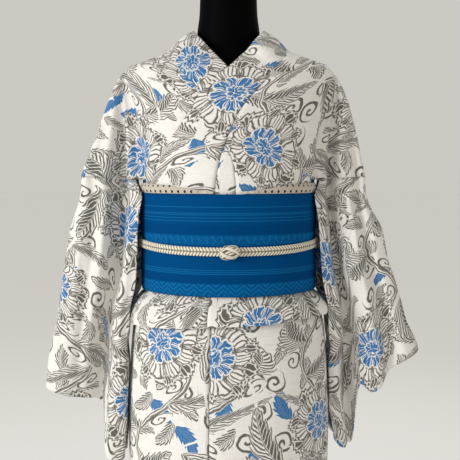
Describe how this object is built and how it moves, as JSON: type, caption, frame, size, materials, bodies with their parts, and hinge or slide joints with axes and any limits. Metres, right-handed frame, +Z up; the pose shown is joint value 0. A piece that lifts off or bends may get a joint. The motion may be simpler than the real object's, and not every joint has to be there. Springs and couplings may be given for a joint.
{
  "type": "cotton yukata robe on a limbless dress form with a round stand",
  "caption": "Cotton yukata robe with a flower print, tied with an obi, a scarf, a cord and a drum bow, on a limbless dress form.",
  "frame": {"origin": "centre of the underside of the stand's base, on the floor", "axes": "+Z up, the robe's front faces -Y, +X towards the wearer's left"},
  "size_m": [0.5985, 0.374, 1.452],
  "materials": {
    "cotton": "matt slubbed cotton with a printed flower scroll",
    "obi": "closely woven, slight sheen",
    "scarf": "soft cream lace cloth",
    "cord": "braided ivory cord",
    "form": "smooth matt black",
    "metal": "black paint, satin"
  },
  "bodies": {
    "root": {"body_left_upper": "cotton", "body_right_upper": "cotton", "okumi_left_upper": "cotton", "okumi_right_upper": "cotton", "sleeve_left": "cotton", "sleeve_right": "cotton", "collar": "cotton", "back_left_lower": "cotton", "back_right_lower": "cotton", "front_left_lower": "cotton", "front_right_lower": "cotton", "okumi_left_lower": "cotton", "okumi_right_lower": "cotton", "waist_fold_left": "cotton", "waist_fold_okumi": "cotton", "waist_fold_right": "cotton", "obi_wrap": "obi", "obi_bow": "obi", "obi_hand": "obi", "obiage": "scarf", "obijime": "cord", "obijime_knot": "cord", "form_torso": "form", "stand_pole": "metal", "stand_base": "metal"}
  },
  "joints": []
}
